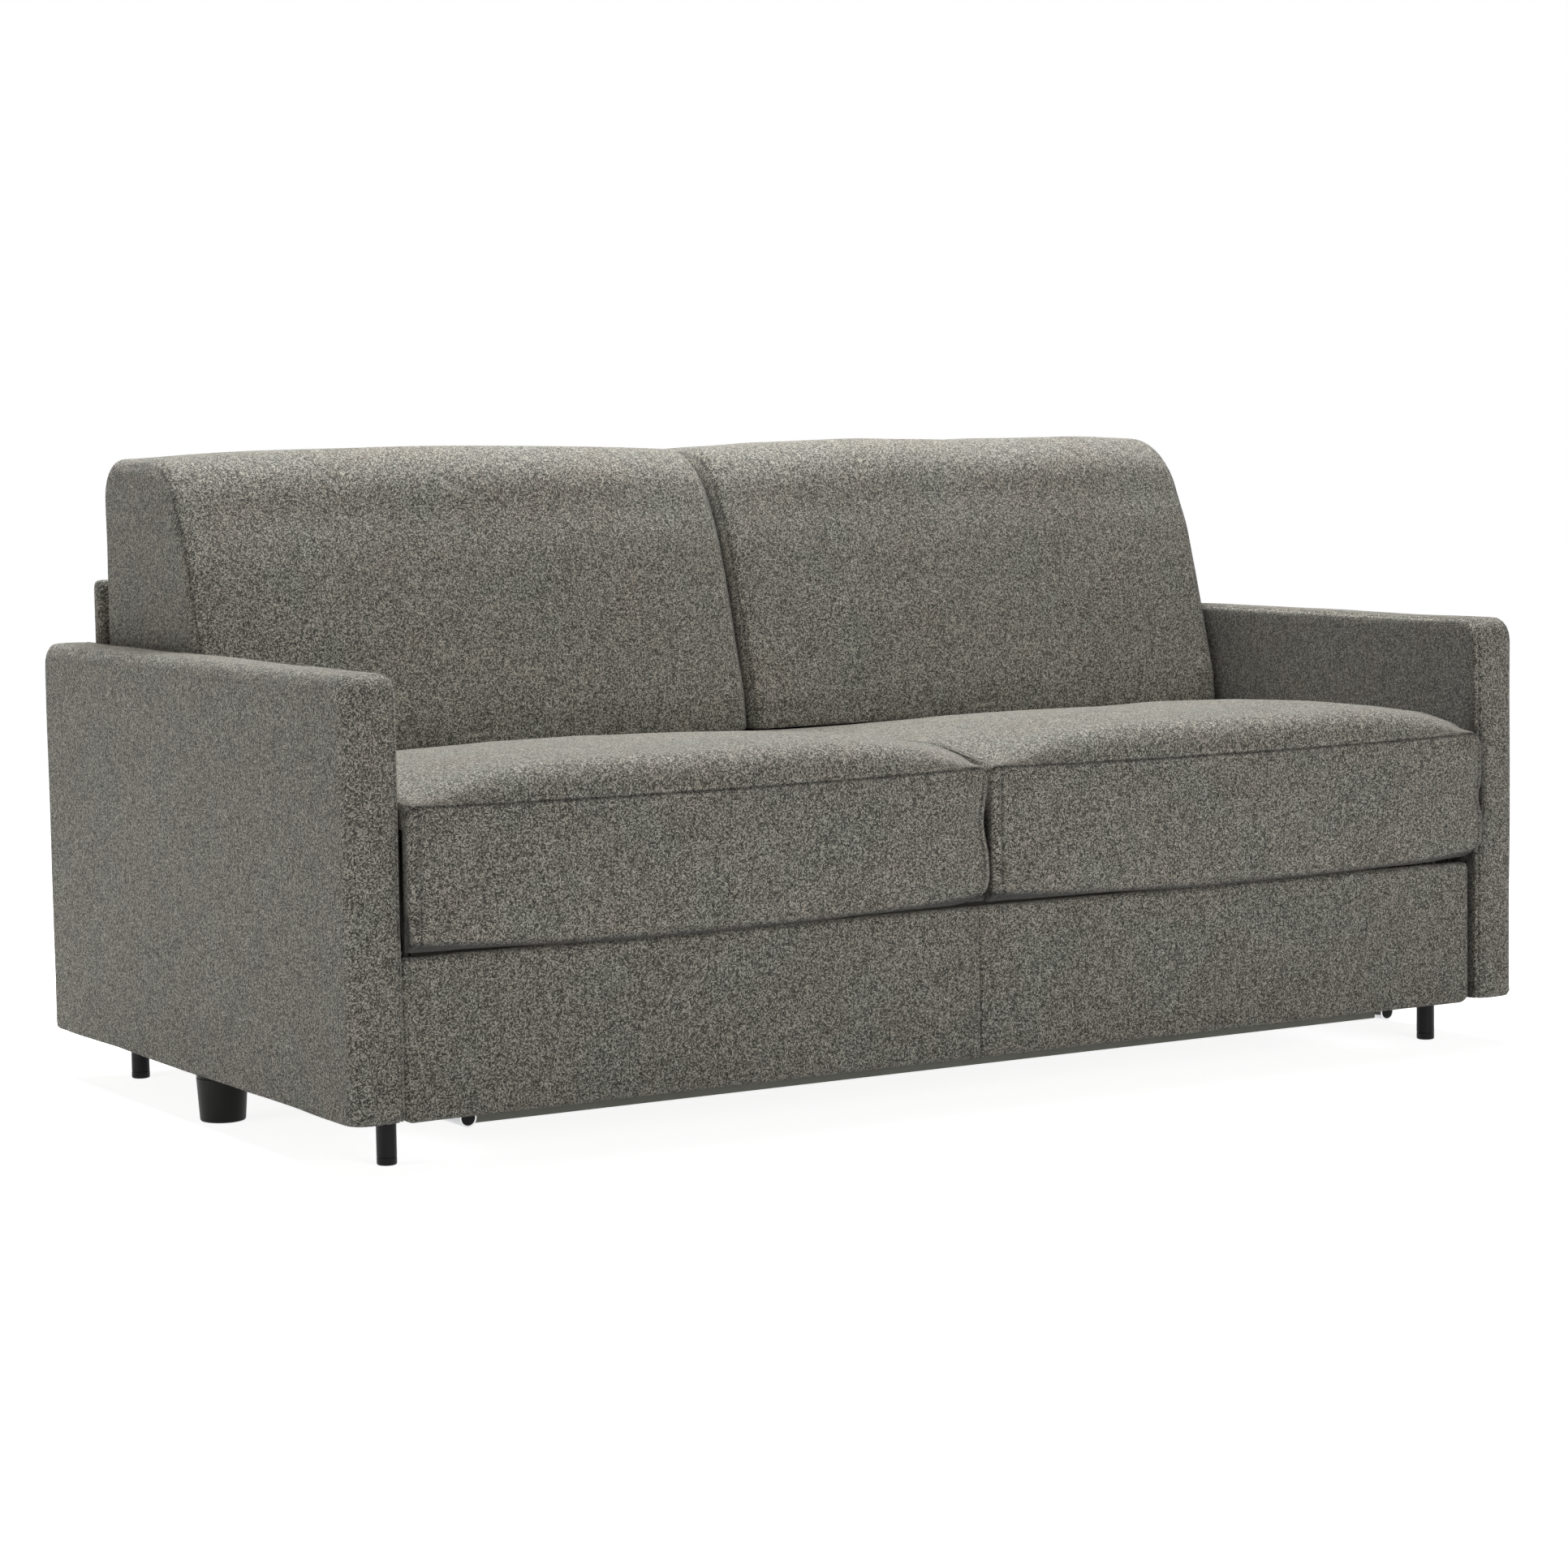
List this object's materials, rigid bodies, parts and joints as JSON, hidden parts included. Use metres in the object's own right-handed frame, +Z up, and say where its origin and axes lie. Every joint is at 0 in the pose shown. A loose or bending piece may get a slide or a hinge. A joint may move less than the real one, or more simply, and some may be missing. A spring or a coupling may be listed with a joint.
{
  "type": "sleeper sofa with a bed that turns forward",
  "caption": "Fabric sofa between slim padded arms. Seat and back turn forward over the front on lift arms and open into a level double bed on a folding deck.",
  "frame": {"origin": "on the floor under the middle of the whole sofa, closed", "axes": "+X to the right across the width, as seen from the front; +Y towards the back; +Z up; the front faces -Y"},
  "size_m": [1.8, 1.02, 0.8628],
  "materials": {
    "sofa_fabric": "mid grey heathered plain weave upholstery with a slight warm tint",
    "mattress_ticking": "off-white knitted mattress ticking",
    "bed_steel": "olive grey powder-coated steel",
    "leg_black": "black satin powder-coated steel tube",
    "bright_tube": "bright plated steel tube",
    "plug_black": "black moulded plastic end plug",
    "foot_plastic": "near-black tapered moulded foot"
  },
  "bodies": {
    "base": {"left_arm": "sofa_fabric", "right_arm": "sofa_fabric", "front_panel": "sofa_fabric", "rear_panel": "sofa_fabric", "left_side_rail": "bed_steel", "right_side_rail": "bed_steel", "front_cross_rail": "bed_steel", "rear_cross_rail": "bed_steel", "left_front_leg": "leg_black", "right_front_leg": "leg_black", "left_rear_leg": "leg_black", "right_rear_leg": "leg_black", "left_arm_foot": "foot_plastic", "right_arm_foot": "foot_plastic"},
    "front_lift": {"left_front_lift_arm": "bed_steel", "right_front_lift_arm": "bed_steel", "front_torque_tube": "bed_steel"},
    "rear_lift": {"left_rear_lift_arm": "bed_steel", "right_rear_lift_arm": "bed_steel", "rear_torque_tube": "bed_steel"},
    "head_section": {"head_deck": "bed_steel", "head_mattress": "mattress_ticking", "left_front_lift_lug": "bed_steel", "right_front_lift_lug": "bed_steel", "left_rear_lift_lug": "bed_steel", "right_rear_lift_lug": "bed_steel", "left_hinge_bracket": "bed_steel", "right_hinge_bracket": "bed_steel", "left_mid_leg_bracket": "bed_steel", "right_mid_leg_bracket": "bed_steel"},
    "mid_legs": {"left_mid_leg": "bright_tube", "right_mid_leg": "bright_tube", "left_mid_leg_plug": "plug_black", "right_mid_leg_plug": "plug_black", "mid_leg_bar": "bed_steel"},
    "seat_section": {"seat_deck": "bed_steel", "seat_mattress": "mattress_ticking", "left_turn_plate": "bed_steel", "right_turn_plate": "bed_steel", "left_turn_pin": "bright_tube", "right_turn_pin": "bright_tube", "left_seat_cushion": "sofa_fabric", "right_seat_cushion": "sofa_fabric"},
    "back_section": {"back_deck": "bed_steel", "foot_mattress": "mattress_ticking", "left_foot_leg_bracket": "bed_steel", "right_foot_leg_bracket": "bed_steel", "left_back_cushion": "sofa_fabric", "right_back_cushion": "sofa_fabric"},
    "left_foot_leg": {"left_foot_leg": "bright_tube"},
    "right_foot_leg": {"right_foot_leg": "bright_tube"}
  },
  "joints": [
    {"name": "front_lift_turn", "type": "hinge", "parent": "base", "child": "front_lift", "pos_m": [0, -0.15, 0.09], "axis": [1, 0, 0], "range_deg": [0, 90]},
    {"name": "rear_lift_turn", "type": "hinge", "parent": "base", "child": "rear_lift", "pos_m": [0, 0.17, 0.09], "axis": [1, 0, 0], "range_deg": [0, 90]},
    {"name": "head_level", "type": "hinge", "parent": "front_lift", "child": "head_section", "pos_m": [0, 0.03, 0.09], "axis": [1, 0, 0], "range_deg": [-90, 0]},
    {"name": "mid_leg_swing", "type": "hinge", "parent": "head_section", "child": "mid_legs", "pos_m": [0, -0.192, 0.0514], "axis": [1, 0, 0], "range_deg": [0, 90]},
    {"name": "seat_turn", "type": "hinge", "parent": "head_section", "child": "seat_section", "pos_m": [0, -0.4145, 0.2605], "axis": [1, 0, 0], "range_deg": [0, 180]},
    {"name": "back_unfold", "type": "hinge", "parent": "seat_section", "child": "back_section", "pos_m": [0, 0.31, 0.4035], "axis": [1, 0, 0], "range_deg": [-90, 0]},
    {"name": "left_foot_leg_swing", "type": "hinge", "parent": "back_section", "child": "left_foot_leg", "pos_m": [-0.7, 0.277, 0.443], "axis": [0, 0, -1], "range_deg": [0, 90]},
    {"name": "right_foot_leg_swing", "type": "hinge", "parent": "back_section", "child": "right_foot_leg", "pos_m": [0.7, 0.277, 0.443], "axis": [0, 0, 1], "range_deg": [0, 90]}
  ],
  "couplings": [
    {"joint": "front_lift_turn", "follows": "seat_turn", "ratio": 0.5},
    {"joint": "rear_lift_turn", "follows": "seat_turn", "ratio": 0.5},
    {"joint": "head_level", "follows": "seat_turn", "ratio": -0.5},
    {"joint": "mid_leg_swing", "follows": "seat_turn", "ratio": 0.5},
    {"joint": "back_unfold", "follows": "seat_turn", "ratio": -0.5},
    {"joint": "left_foot_leg_swing", "follows": "seat_turn", "ratio": 0.5},
    {"joint": "right_foot_leg_swing", "follows": "seat_turn", "ratio": 0.5}
  ]
}
